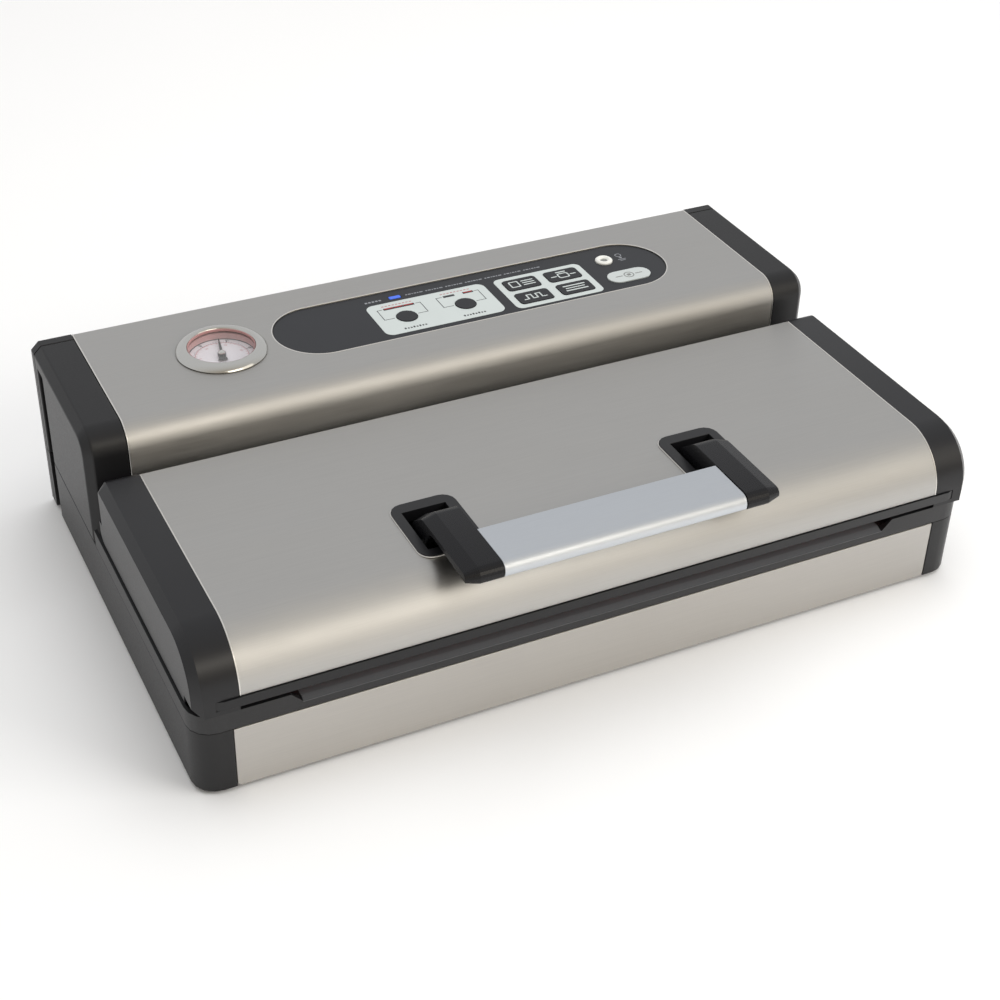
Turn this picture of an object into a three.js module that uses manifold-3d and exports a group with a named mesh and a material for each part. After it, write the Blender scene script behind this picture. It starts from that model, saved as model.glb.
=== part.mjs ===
// Countertop vacuum sealer with a hinged lid, a latching handle and a rear control housing.
// Millimetres, +Z up, front towards -Y, origin under the middle of the machine on the worktop.
import * as THREE from 'three';
import { mergeVertices } from 'three/addons/utils/BufferGeometryUtils.js';
import Module from 'manifold-3d';

const wasm = await Module();
wasm.setup();

// ---------------------------------------------------------------- driving dimensions
const HALF_W = 245;        // outer side walls
const SEAM_X = 219;        // where the stainless sheets end and the black end caps start
const GAP = 0.3;           // assembly gap between touching pieces
const SHEET = 1.2;         // stainless sheet
const WALL = 3;            // moulded wall
const BASE_FRONT = -145;
const BASE_REAR = 151;
const REAR_FACE = 158;
const TRAY_BOTTOM = 2.5;
const TRAY_TOP = 43;
const RIM_TOP = 55;
const DECK_TOP = 49.5;
const DECK_UNDER = 45;
const LID_BOTTOM = 56.5;
const LID_SEAM_Z = 66.3;   // lower edge of the lid's stainless front
const LID_TOP = 99;
const LID_FRONT = -147.3;
const LID_REAR = 20.4;
const LID_BEND = 32;       // radius of the lid's front bend
const HOUSING_FRONT = 38.6;
const HOUSING_TOP = 117.5;
const HOUSING_BEND = 15;
const EDGE_CHAMFER = 5;    // outer edge of every end cap
const HINGE = { y: 20, z: 82.5, r: 3 };
const PIVOT = { y: -95, z: 88, r: 4 };        // handle shaft
const ARM = { x0: 75, x1: 96.8, top: 113 };
const GRIP_NOSE = -159.2;
const GAUGE = { x: -141, y: 102, bezel: 28.3, glass: 20.6, body: 25 };
const PANEL = { x0: -106.4, x1: 168.6, y: 102, r: 29.5, top: 116.8 };
const CHAMBER = { x: 185, y0: -96, y1: -20, floor: 28 };
const GASKET = { x: 196, y0: -106, y1: -10, w: 10 };
const SEAL = { x: 195, y: -126, w: 9 };
const HOOK = { x0: 208, x1: 214 };
const BEZEL = { x0: 66, x1: 105, y0: -120.5, y1: -69.5 };
const GROOVE = { y0: 134, y1: 146, x: 241, top: 105 };   // vertical groove near each rear edge
const LIP_BOTTOM = 60.2;   // underside of the lid's front lip
const SUCTION = { x: 70, z: 37 };
const FAN = { x: -120, z: 52, r: 27 };
const INLET = { x: 170, z: 30, w: 29.4, h: 22.4 };
const SWITCH = { x: 130, y: 150, z: 30, w: 21.4, h: 14.4, tilt: 7 };
const FEET = [[-215, -118], [215, -118], [-215, 128], [215, 128]];
const FOOT_NAMES = ['foot_front_left', 'foot_front_right', 'foot_rear_left', 'foot_rear_right'];

// ---------------------------------------------------------------- materials
function finish(color, roughness, metalness, opacity = 1) {
  return new THREE.MeshStandardMaterial({ color, roughness, metalness, opacity, transparent: opacity < 1 });
}
const STAINLESS = finish(0xa8a8a5, 0.35, 1);
const BLACK = finish(0x3a3a3d, 0.55, 0);
const DARK_KEY = finish(0x35363a, 0.5, 0);
const PALE_KEY = finish(0xd5dcda, 0.5, 0);
const ALUMINIUM = finish(0xb9bec6, 0.4, 1);
const STEEL = finish(0x8f9194, 0.3, 1);
const RUBBER = finish(0x1c1c1d, 0.8, 0);
const SILICONE = finish(0x9b3b2e, 0.7, 0);
const WHITE = finish(0xe9e9e4, 0.5, 0);
const GLASS = finish(0xffffff, 0.05, 0, 0.25);
const COPPER = finish(0xa8683a, 0.4, 0.8);
const BOARD = finish(0x1f5a37, 0.6, 0);
const BLUE = finish(0x3f7fe8, 0.3, 0);
const TAPE = finish(0x8a6a45, 0.6, 0);

// ---------------------------------------------------------------- solids
function solid(geometry) {
  let g = geometry.clone();
  g.deleteAttribute('normal');
  g.deleteAttribute('uv');
  g = mergeVertices(g, 1e-4);
  return new wasm.Manifold(new wasm.Mesh({
    numProp: 3,
    vertProperties: Float32Array.from(g.attributes.position.array),
    triVerts: Uint32Array.from(g.index.array),
  }));
}

function toGeometry(manifold) {
  const mesh = manifold.getMesh();
  const g = new THREE.BufferGeometry();
  g.setAttribute('position', new THREE.BufferAttribute(Float32Array.from(mesh.vertProperties), 3));
  g.setIndex(new THREE.BufferAttribute(Uint32Array.from(mesh.triVerts), 1));
  g.computeVertexNormals();
  return g;
}

// Corner list [u, v, radius] to outline points; a radius turns the corner into an arc.
function outline(corners, steps = 8) {
  const points = [];
  const n = corners.length;
  corners.forEach(([u, v, radius = 0], i) => {
    const here = new THREE.Vector2(u, v);
    if (!radius) {
      points.push(here);
      return;
    }
    const before = new THREE.Vector2(...corners[(i + n - 1) % n].slice(0, 2)).sub(here).normalize();
    const after = new THREE.Vector2(...corners[(i + 1) % n].slice(0, 2)).sub(here).normalize();
    const half = Math.acos(THREE.MathUtils.clamp(before.dot(after), -1, 1)) / 2;
    const centre = before.clone().add(after).normalize().multiplyScalar(radius / Math.sin(half)).add(here);
    const start = before.clone().multiplyScalar(radius / Math.tan(half)).add(here).sub(centre);
    const end = after.clone().multiplyScalar(radius / Math.tan(half)).add(here).sub(centre);
    const sweep = Math.atan2(start.cross(end), start.dot(end));
    for (let k = 0; k <= steps; k += 1) {
      points.push(start.clone().rotateAround(new THREE.Vector2(), (sweep * k) / steps).add(centre));
    }
  });
  return points;
}

function circle(u, v, r, segments = 24) {
  return Array.from({ length: segments }, (_, k) => {
    const a = (2 * Math.PI * k) / segments;
    return new THREE.Vector2(u + r * Math.cos(a), v + r * Math.sin(a));
  });
}

const AXES = {
  x: new THREE.Matrix4().makeBasis(new THREE.Vector3(0, 1, 0), new THREE.Vector3(0, 0, 1), new THREE.Vector3(1, 0, 0)),
  y: new THREE.Matrix4().makeBasis(new THREE.Vector3(0, 0, 1), new THREE.Vector3(1, 0, 0), new THREE.Vector3(0, 1, 0)),
  z: new THREE.Matrix4(),
};

// Extrudes an outline along an axis from a to b. Outlines are (y,z) for x, (z,x) for y and (x,y) for z.
function prism(axis, points, a, b, bevel = {}) {
  const g = new THREE.ExtrudeGeometry(new THREE.Shape(points), { depth: b - a, bevelEnabled: false, ...bevel });
  g.translate(0, 0, a);
  g.applyMatrix4(AXES[axis]);
  return solid(g);
}

function box(x0, x1, y0, y1, z0, z1) {
  const g = new THREE.BoxGeometry(x1 - x0, y1 - y0, z1 - z0);
  g.translate((x0 + x1) / 2, (y0 + y1) / 2, (z0 + z1) / 2);
  return solid(g);
}

function rod(axis, u, v, r, a, b, segments = 20) {
  return prism(axis, circle(u, v, r, segments), a, b);
}

function lathe(profile, x, y, segments = 40) {
  const g = new THREE.LatheGeometry(profile.map(([r, z]) => new THREE.Vector2(r, z)), segments);
  g.rotateX(Math.PI / 2);
  g.translate(x, y, 0);
  return solid(g);
}

// A rounded slab seen from above: rectangle with corner radius r between two heights.
function slab(x0, x1, y0, y1, r, z0, z1, steps = 4) {
  return prism('z', outline([[x0, y0, r], [x1, y0, r], [x1, y1, r], [x0, y1, r]], steps), z0, z1);
}

// An end cap: a profile extruded in +x whose outer end is chamfered all round.
function chamferedEnd(points, x0, x1, size, thickness) {
  const bevel = {
    bevelEnabled: true, bevelSegments: 1, bevelSize: size, bevelOffset: -size, bevelThickness: thickness,
  };
  const whole = prism('x', points, x0, x1 - thickness, bevel);
  return whole.intersect(box(x0, x1 + 1, -400, 400, -400, 400));
}

function mirrored(manifold) {
  const g = toGeometry(manifold);
  g.scale(-1, 1, 1);
  const index = g.index.array;
  for (let i = 0; i < index.length; i += 3) {
    [index[i], index[i + 1]] = [index[i + 1], index[i]];
  }
  return solid(g);
}

// ---------------------------------------------------------------- the assembly
const sealer = new THREE.Group();

function add(name, manifold, material, parent = sealer) {
  const mesh = new THREE.Mesh(toGeometry(manifold), material);
  mesh.name = name;
  parent.add(mesh);
  return mesh;
}

function addPair(name, right, material, parent = sealer) {
  add(`${name}_right`, right, material, parent);
  add(`${name}_left`, mirrored(right), material, parent);
}

// ---------------------------------------------------------------- base
function baseTray() {
  const inner = { x: HALF_W - WALL, y0: BASE_FRONT + 5.5, y1: BASE_REAR - WALL };
  let tray = slab(-HALF_W, HALF_W, BASE_FRONT, BASE_REAR, 14, TRAY_BOTTOM, TRAY_TOP);
  tray = tray.add(box(-HALF_W, HALF_W, BASE_REAR - 20, BASE_REAR, TRAY_BOTTOM, TRAY_TOP));
  tray = tray.subtract(slab(-inner.x, inner.x, inner.y0, inner.y1, 9, TRAY_BOTTOM + WALL, TRAY_TOP + 1));
  tray = tray.subtract(box(-223.5, 223.5, BASE_FRONT - 1, BASE_FRONT + 2.4, 0, TRAY_TOP + 1));
  for (const [x, y] of FEET) {
    tray = tray.subtract(rod('z', x, y, 3.4, 0, 10, 12));
  }
  for (const side of [-1, 1]) {
    const g = GROOVE;
    const span = (a, b) => [Math.min(side * a, side * b), Math.max(side * a, side * b)];
    tray = tray.add(box(...span(g.x - 3, HALF_W - 2), g.y0 - 3, g.y1 + 3, TRAY_BOTTOM, TRAY_TOP));
    tray = tray.subtract(box(...span(g.x, HALF_W + 1), g.y0, g.y1, 0, TRAY_TOP + 1));
  }
  // openings in the rear wall for the fan, the power inlet and the switch
  const back = (x, w, z0) => box(x - w / 2, x + w / 2, BASE_REAR - 5, BASE_REAR + 1, z0, TRAY_TOP + 1);
  tray = tray.subtract(back(FAN.x, 62, FAN.z - 31));
  return tray.subtract(back(INLET.x, INLET.w + 2, INLET.z - 12.5)).subtract(back(SWITCH.x, SWITCH.w + 2, SWITCH.z - 8.5));
}

function foot([x, y]) {
  return lathe([[0, 0], [9, 0], [10, 1], [10, TRAY_BOTTOM - GAP], [3, TRAY_BOTTOM - GAP], [3, 7.5], [0, 7.5]], x, y, 12);
}

function frontPanel() {
  const [x, z0, z1, cut] = [223.2, TRAY_BOTTOM, TRAY_TOP - 0.6, 1.5];
  const points = [[-x, z0 + cut], [-x + cut, z0], [x - cut, z0], [x, z0 + cut], [x, z1], [-x, z1]];
  return prism('y', points.map(([px, pz]) => new THREE.Vector2(pz, px)), BASE_FRONT + 0.2, BASE_FRONT + 2.1);
}

// The deck: rim, plate, vacuum chamber well, gasket groove, seal bar channel, hook slots and hinge ears.
function deckFrame() {
  const skirt = TRAY_TOP + GAP;
  const end = HOUSING_FRONT - GAP;
  const inX = HALF_W - 3.5;
  const inY = BASE_FRONT + 3.5;
  let deck = slab(-HALF_W, HALF_W, BASE_FRONT, 80, 14, skirt, RIM_TOP).intersect(box(-300, 300, -300, end, 0, 99));
  deck = deck.subtract(slab(-inX, inX, inY, 120, 10.5, DECK_TOP, 99));
  deck = deck.subtract(slab(-inX, inX, inY, 120, 10.5, 0, DECK_UNDER));
  // the rim is lower between two ramps, where the bag goes in
  const ramp = [[192, RIM_TOP + 1], [184.5, 48.2], [-184.5, 48.2], [-192, RIM_TOP + 1]];
  deck = deck.subtract(prism('y', ramp.map(([x, z]) => new THREE.Vector2(z, x)), BASE_FRONT - 1, inY + 1));
  const slope = outline([[BASE_FRONT + 0.6, 47.5], [-138, 47.5], [-138, DECK_TOP], [-141.5, DECK_TOP], [BASE_FRONT + 0.6, 48.2]]);
  deck = deck.add(prism('x', slope, -184.4, 184.4));
  // the rim's top is narrower than its wall
  deck = deck.subtract(slab(-inX - 1.4, inX + 1.4, inY - 1.4, 120, 11.9, 51.5, 99));
  // vacuum chamber well
  const c = CHAMBER;
  const t = 2.5;
  deck = deck.add(slab(-c.x - t, c.x + t, c.y0 - t, c.y1 + t, 6, c.floor - t, DECK_TOP));
  deck = deck.subtract(slab(-c.x, c.x, c.y0, c.y1, 4, c.floor, 99));
  deck = deck.subtract(rod('y', SUCTION.z, SUCTION.x, 3, c.y1 - 1, c.y1 + t + 1, 12));
  // gasket groove and seal bar channel
  deck = deck.subtract(ring(GASKET.w + 0.6, DECK_TOP - 1.7, 99));
  deck = deck.subtract(box(-SEAL.x - 1, SEAL.x + 1, SEAL.y - 5, SEAL.y + 5, 46.7, 99));
  // one slot for each latch hook
  for (const side of [-1, 1]) {
    const [a, b] = [side * (HOOK.x0 - 3.5), side * (HOOK.x1 + 3.5)];
    deck = deck.subtract(box(Math.min(a, b), Math.max(a, b), -130, -72, 0, 99));
    const ear = outline([[HINGE.y - 9, DECK_UNDER], [HINGE.y + 9, DECK_UNDER], [HINGE.y + 7, HINGE.z + 7, 6.5],
      [HINGE.y - 7, HINGE.z + 7, 6.5]]);
    const [e, f] = [Math.min(side * 208, side * 216), Math.max(side * 208, side * 216)];
    deck = deck.add(prism('x', ear, e, f));
    deck = deck.subtract(rod('x', HINGE.y, HINGE.z, HINGE.r + GAP, e - 1, f + 1));
  }
  return deck;
}

// A rectangular gasket ring of width w on the gasket's centre line.
function ring(w, z0, z1) {
  const g = GASKET;
  const h = w / 2;
  const outer = slab(-g.x - h, g.x + h, g.y0 - h, g.y1 + h, 14, z0, z1);
  return outer.subtract(slab(-g.x + h, g.x - h, g.y0 + h, g.y1 - h, 14 - w, z0 - 1, z1 + 1));
}

function dripTray() {
  const [x, y0, y1, z0, z1] = [CHAMBER.x - 3, CHAMBER.y0 + 3, CHAMBER.y1 - 3, CHAMBER.floor + GAP, 32.6];
  const tray = slab(-x, x, y0, y1, 5, z0, z1);
  return tray.subtract(slab(-x + 1.5, x - 1.5, y0 + 1.5, y1 - 1.5, 3.5, z0 + 1.5, 99));
}

function latchCatch() {
  const [x0, x1, y0, y1] = [HOOK.x0 - 3, HOOK.x1 + 3, -90, -73];
  let part = box(x0, x0 + 1.5, y0, y1, 44, 51.4).add(box(x1 - 1.5, x1, y0, y1, 44, 51.4));
  part = part.add(box(x0 - 3.4, x0 + 1.5, y0, y1, DECK_TOP + GAP, 51.4));
  part = part.add(box(x1 - 1.5, x1 + 5, y0, y1, DECK_TOP + GAP, 51.4));
  return part.add(rod('x', -81, 48, 2.5, x0 + 1, x1 - 1, 16));
}

function addBase() {
  add('base_tray', baseTray(), BLACK);
  add('front_panel', frontPanel(), STAINLESS);
  add('deck_frame', deckFrame(), BLACK);
  FEET.forEach((place, i) => add(FOOT_NAMES[i], foot(place), RUBBER));
  add('drip_tray', dripTray(), STAINLESS);
  add('lower_gasket', ring(GASKET.w, DECK_TOP - 1.4, 53), RUBBER);
  const s = SEAL;
  add('seal_bar', box(-s.x, s.x, s.y - s.w / 2, s.y + s.w / 2, 47, 50), ALUMINIUM);
  add('heating_element', box(-s.x + 2, s.x - 2, s.y - 1.5, s.y + 1.5, 50.3, 50.7), STEEL);
  add('release_tape', box(-s.x, s.x, s.y - 4.5, s.y + 4.5, 51, 51.4), TAPE);
  addPair('latch_catch', latchCatch(), STEEL);
  addPair('hinge_pin', rod('x', HINGE.y, HINGE.z, HINGE.r, 206, 226, 16), STEEL);
}

// ---------------------------------------------------------------- rear housing
function housingProfile(inset, bottom, rear) {
  return outline([
    [HOUSING_FRONT + inset, bottom], [rear, bottom], [rear, HOUSING_TOP - inset],
    [HOUSING_FRONT + inset, HOUSING_TOP - inset, HOUSING_BEND - inset],
  ], 10);
}

function housingEndCap() {
  let cap = chamferedEnd(housingProfile(0, 20, 180), SEAM_X + GAP, HALF_W, EDGE_CHAMFER, EDGE_CHAMFER);
  cap = cap.intersect(box(0, 300, 0, BASE_REAR, TRAY_TOP + GAP, 200));
  cap = cap.subtract(prism('x', housingProfile(WALL, 30, BASE_REAR - WALL), 200, HALF_W - 3.5));
  const g = GROOVE;
  cap = cap.add(box(g.x - 3, HALF_W - 3, g.y0 - 3, g.y1 + 3, TRAY_TOP + GAP, g.top + 3));
  return cap.subtract(box(g.x, HALF_W + 1, g.y0, g.y1, 0, g.top));
}

function stadium(grow, z0, z1) {
  const [r, y] = [PANEL.r + grow, PANEL.y];
  return slab(PANEL.x0 - grow, PANEL.x1 + grow, y - r, y + r, r - 0.01, z0, z1, 10);
}

function housingShell() {
  const outer = outline([[HOUSING_FRONT, 50.3], [HOUSING_FRONT, HOUSING_TOP, HOUSING_BEND],
    [REAR_FACE, HOUSING_TOP, 1.6], [REAR_FACE, 106], [REAR_FACE - 4, 106]], 12);
  let shell = prism('x', outer, -SEAM_X, SEAM_X);
  const inner = outline([[HOUSING_FRONT + SHEET, 20], [HOUSING_FRONT + SHEET, HOUSING_TOP - SHEET, HOUSING_BEND - SHEET],
    [REAR_FACE - SHEET, HOUSING_TOP - SHEET, 0.4], [REAR_FACE - SHEET, 20]], 12);
  shell = shell.subtract(prism('x', inner, -SEAM_X - 1, SEAM_X + 1));
  shell = shell.subtract(rod('z', GAUGE.x, GAUGE.y, GAUGE.body + 0.6, 100, 130, 40));
  return shell.subtract(stadium(0.3, 100, 130));
}

function rearCover() {
  const edge = EDGE_CHAMFER;
  const plate = [[TRAY_BOTTOM, -HALF_W], [HOUSING_TOP - edge, -HALF_W], [HOUSING_TOP, -HALF_W + edge],
    [HOUSING_TOP, HALF_W - edge], [HOUSING_TOP - edge, HALF_W], [TRAY_BOTTOM, HALF_W]];
  let cover = prism('y', plate.map(([z, x]) => new THREE.Vector2(z, x)), BASE_REAR + GAP, REAR_FACE);
  // the stainless shell covers the top between the end caps
  cover = cover.subtract(box(-SEAM_X - GAP, SEAM_X + GAP, BASE_REAR, REAR_FACE + 1, 106 - GAP, 200));
  // hollow inner side, leaving a frame and a back wall
  cover = cover.subtract(box(-HALF_W + 7, HALF_W - 7, BASE_REAR, REAR_FACE - 3, 7, 101));
  for (let k = -3; k <= 3; k += 1) {
    const half = Math.sqrt(FAN.r ** 2 - (k * 7) ** 2);
    cover = cover.subtract(box(FAN.x - half, FAN.x + half, BASE_REAR, REAR_FACE + 1, FAN.z + k * 7 - 1.8, FAN.z + k * 7 + 1.8));
  }
  for (const hole of [INLET, SWITCH]) {
    const [w, h] = [hole.w / 2 + GAP, hole.h / 2 + GAP];
    cover = cover.subtract(box(hole.x - w, hole.x + w, BASE_REAR, REAR_FACE + 1, hole.z - h, hole.z + h));
  }
  return cover;
}

function powerInlet() {
  const { x, z, w, h } = INLET;
  let part = box(x - w / 2, x + w / 2, 134, REAR_FACE - 0.4, z - h / 2, z + h / 2);
  const socket = [[z - 8.5, x - 12], [z + 4, x - 12], [z + 8.5, x - 8], [z + 8.5, x + 8], [z + 4, x + 12], [z - 8.5, x + 12]];
  part = part.subtract(prism('y', socket.map(([pz, px]) => new THREE.Vector2(pz, px)), 142, 170));
  for (const [dx, dz] of [[-7, -2], [7, -2], [0, 3]]) {
    part = part.add(box(x + dx - 1, x + dx + 1, 140, 154, z + dz - 2, z + dz + 2));
  }
  return part;
}

function switchFrame() {
  const { x, z, w, h } = SWITCH;
  const part = box(x - w / 2, x + w / 2, 138, REAR_FACE - 0.4, z - h / 2, z + h / 2);
  return part.subtract(box(x - 9, x + 9, 143, 170, z - 5.6, z + 5.6));
}

function rocker() {
  const corner = [[-3, -3], [7.3, -4.2], [5.6, 0], [7.3, 4.2], [-3, 3]];
  return prism('x', corner.map(([y, z]) => new THREE.Vector2(y, z)), -8.5, 8.5);
}

function addHousing() {
  addPair('housing_end_cap', housingEndCap(), BLACK);
  add('rear_housing_shell', housingShell(), STAINLESS);
  add('rear_cover', rearCover(), BLACK);
  add('power_inlet', powerInlet(), BLACK);
  add('switch_frame', switchFrame(), BLACK);
  const mesh = add('power_switch', rocker(), BLACK);
  mesh.position.set(SWITCH.x, SWITCH.y, SWITCH.z);
  mesh.rotation.x = THREE.MathUtils.degToRad(-SWITCH.tilt);
}

// ---------------------------------------------------------------- controls
const ROUND_KEYS = [['key_seal_time', -20, 96.4], ['key_pressure', 21, 96.4]];
const WIDE_KEYS = [['key_vacuum_seal', 65.9, 106], ['key_canister', 96.1, 106], ['key_pulse', 65.9, 87.5], ['key_manual_seal', 96.1, 87.5]];
const KEY = { top: PANEL.top + 0.6, flange: 112.7, bottom: 110.5, r: 6.8, w: 23.8, h: 13.9 };
const CANCEL = { x: 136.6, y: 88.4, w: 31, h: 14.5 };
const PORT = { x: 131, y: 113, r: 5.9 };
const LED = { x: -17.5, y: 122.5, w: 8, h: 3.4 };

function keySolid(x, y, w, h, r) {
  const cap = slab(x - w / 2, x + w / 2, y - h / 2, y + h / 2, r, KEY.flange - 1, KEY.top);
  const [fw, fh] = [w / 2 + 1.2, h / 2 + 1.2];
  return cap.add(slab(x - fw, x + fw, y - fh, y + fh, r + 1.2, KEY.bottom, KEY.flange));
}

function controlPanel() {
  let panel = stadium(5, 113, 116).add(stadium(-GAP, 115, PANEL.top));
  const cut = (x, y, w, h, r) => {
    panel = panel.subtract(slab(x - w / 2 - GAP, x + w / 2 + GAP, y - h / 2 - GAP, y + h / 2 + GAP, r + GAP, 100, 130));
  };
  ROUND_KEYS.forEach(([, x, y]) => cut(x, y, 2 * KEY.r, 2 * KEY.r, KEY.r - 0.01));
  WIDE_KEYS.forEach(([, x, y]) => cut(x, y, KEY.w, KEY.h, 2.5));
  cut(CANCEL.x, CANCEL.y, CANCEL.w, CANCEL.h, CANCEL.h / 2 - 0.01);
  cut(LED.x, LED.y, LED.w, LED.h, 0.6);
  // the flange is trimmed clear of the gauge body
  panel = panel.subtract(rod('z', GAUGE.x, GAUGE.y, GAUGE.body + 3, 100, 130, 32));
  return panel.subtract(rod('z', PORT.x, PORT.y, PORT.r + GAP, 100, 130, 24));
}

function canisterPort() {
  const { r } = PORT;
  return lathe([[2.4, 108], [r, 108], [r, 117.6], [r - 1, 118.4], [3.6, 118.4], [2.4, 117.4], [2.4, 108]], PORT.x, PORT.y, 24);
}

function addControls() {
  add('control_panel', controlPanel(), BLACK);
  ROUND_KEYS.forEach(([name, x, y]) => add(name, keySolid(x, y, 2 * KEY.r, 2 * KEY.r, KEY.r - 0.01), DARK_KEY));
  WIDE_KEYS.forEach(([name, x, y]) => add(name, keySolid(x, y, KEY.w, KEY.h, 2.5), DARK_KEY));
  add('key_cancel', keySolid(CANCEL.x, CANCEL.y, CANCEL.w, CANCEL.h, CANCEL.h / 2 - 0.01), PALE_KEY);
  add('ready_lamp', slab(LED.x - 4, LED.x + 4, LED.y - 1.7, LED.y + 1.7, 0.6, 110, 117, 2), BLUE);
  add('canister_port', canisterPort(), WHITE);
  let board = box(-98, 158, 76, 128, 102, 103.6);
  for (const [, x, y] of [...ROUND_KEYS, ...WIDE_KEYS, ['', CANCEL.x, CANCEL.y]]) {
    board = board.add(box(x - 3, x + 3, y - 3, y + 3, 103, 108));
  }
  add('control_board', board.subtract(rod('z', PORT.x, PORT.y, 8, 90, 120, 12)), BOARD);
}

// ---------------------------------------------------------------- vacuum gauge
const NEEDLE_TURN = 12;    // degrees clockwise from the rear direction, where the needle rests

function addGauge() {
  const { x, y, bezel, glass, body } = GAUGE;
  add('gauge_case', lathe([[0, 86], [body, 86], [body, 117.2], [body - 1.2, 117.2], [body - 1.2, 88], [0, 88]], x, y), STEEL);
  add('gauge_bezel', lathe([
    [22.4, 117.9], [bezel - 0.4, 117.9], [bezel, 118.3], [bezel - 0.6, 119.4], [bezel - 2, 120.8], [bezel - 3.9, 121.8],
    [bezel - 5.6, 122.2], [bezel - 6.9, 121.8], [glass, 120.8], [glass, 119.3], [22.4, 119.3], [22.4, 117.9],
  ], x, y, 48), STEEL);
  add('gauge_dial', rod('z', x, y, 23.4, 112.6, 113.4, 40), WHITE);
  add('gauge_lens', rod('z', x, y, 22, 117.9, 119, 40), GLASS);
  const points = [[-1, 2], [-0.35, 19], [0.35, 19], [1, 2], [1.4, -1], [3, -6.5], [-3, -6.5], [-1.4, -1]];
  const hand = prism('z', points.map(([u, v]) => new THREE.Vector2(u, v)), 114.4, 115)
    .add(rod('z', 0, 0, 2.6, 114, 116, 16));
  const mesh = add('gauge_needle', hand, DARK_KEY);
  mesh.position.set(x, y, 0);
  mesh.rotation.z = THREE.MathUtils.degToRad(-NEEDLE_TURN);
}

// ---------------------------------------------------------------- works inside the housing
const FLOOR = TRAY_BOTTOM + WALL + GAP;

function transformer() {
  const core = box(-90, -28, 62, 112, FLOOR + 6, 62).subtract(box(-80, -38, 50, 120, 20, 50));
  return core.add(box(-79, -39, 56, 118, 20.5, 49.5)).add(box(-96, -22, 66, 108, FLOOR, FLOOR + 7))
    .add(box(-79, -39, 62, 112, 19, 51));
}

function pumpHead() {
  const head = box(44, 96, 58, 104, FLOOR, 62);
  const port = rod('y', 37, SUCTION.x, 3, 52, 60, 12);
  return head.add(port).add(box(50, 90, 62, 100, 60, 70));
}

function pumpMotor() {
  const can = rod('x', 81, 34, 21, 96.3, 160, 28);
  const cradle = box(104, 152, 66, 96, FLOOR, 24);
  return can.add(cradle).add(rod('x', 81, 34, 8, 158, 168, 16));
}

function fanRotor() {
  let rotor = rod('y', 0, 0, 10, -5, 5, 20);
  for (let k = 0; k < 7; k += 1) {
    const blade = new THREE.BoxGeometry(17, 1.6, 11);
    blade.rotateX(THREE.MathUtils.degToRad(40));
    blade.translate(16.5, 0, 0);
    blade.rotateY((2 * Math.PI * k) / 7);
    rotor = rotor.add(solid(blade));
  }
  return rotor;
}

function fanFrame() {
  const { x, z } = FAN;
  let frame = box(x - 30, x + 30, 134, 150, z - 30, z + 30);
  frame = frame.subtract(rod('y', z, x, 28, 130, 160, 36));
  frame = frame.add(box(x - 29, x + 29, 134, 136, z - 2, z + 2)).add(rod('y', z, x, 8, 134, 136, 20));
  return frame;
}

function suctionHose() {
  const start = CHAMBER.y1 + 2.5 + GAP;
  const route = new THREE.CatmullRomCurve3([
    new THREE.Vector3(SUCTION.x, start, SUCTION.z),
    new THREE.Vector3(SUCTION.x, start + 16, SUCTION.z - 1),
    new THREE.Vector3(SUCTION.x + 5, start + 36, SUCTION.z - 8),
    new THREE.Vector3(SUCTION.x, start + 56, SUCTION.z - 1),
    new THREE.Vector3(SUCTION.x, 52 - GAP, SUCTION.z),
  ]);
  const shape = new THREE.Shape(circle(0, 0, 4, 10));
  return solid(new THREE.ExtrudeGeometry(shape, { steps: 16, extrudePath: route, bevelEnabled: false }));
}

function addWorks() {
  add('transformer', transformer(), COPPER);
  add('pump_head', pumpHead(), ALUMINIUM);
  add('pump_motor', pumpMotor(), STEEL);
  add('release_valve', box(10, 34, 66, 90, FLOOR, 34).add(rod('z', 22, 78, 8, 33, 50, 20)), BLACK);
  add('fan_frame', fanFrame(), BLACK);
  add('fan_rotor', fanRotor(), BLACK).position.set(FAN.x, 143.5, FAN.z);
  add('suction_hose', suctionHose(), RUBBER);
}

// ---------------------------------------------------------------- lid
function lidProfile(inset, bottom) {
  return outline([
    [LID_FRONT + inset, bottom], [25 - inset, bottom, 7 - inset], [25 - inset, LID_TOP - inset, 7 - inset],
    [LID_FRONT + inset, LID_TOP - inset, LID_BEND - inset],
  ], 10);
}

function lidEndCap() {
  const bottom = LID_BOTTOM + 0.5;
  let cap = chamferedEnd(lidProfile(0, bottom), SEAM_X + GAP, HALF_W - 1.2, EDGE_CHAMFER, EDGE_CHAMFER);
  // square lower edge: only the upper and front edges are chamfered
  const sill = prism('x', lidProfile(0, bottom), HALF_W - 8, HALF_W - 1.2);
  cap = cap.add(sill.intersect(box(0, 300, -130, 300, 0, 70)));
  cap = cap.subtract(prism('x', lidProfile(WALL, bottom - 20), SEAM_X + 3, HALF_W - 4.5));
  cap = cap.subtract(rod('x', HINGE.y, HINGE.z, HINGE.r + GAP, 200, SEAM_X + 7.5));
  return cap.subtract(lip(GAP));
}

// The lip along the lid's lower front edge; its ends run out into the end caps.
function lip(grow) {
  const [y0, y1] = [LID_FRONT - 1 - grow, LID_FRONT + 2.5 + grow];
  const plan = [[-228 - grow, y0], [228 + grow, y0], [236 + grow, y0 + 2.6], [236 + grow, y1], [-236 - grow, y1], [-236 - grow, y0 + 2.6]];
  return prism('z', plan.map(([u, v]) => new THREE.Vector2(u, v)), LIP_BOTTOM - grow, LID_SEAM_Z - GAP + grow);
}

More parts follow.
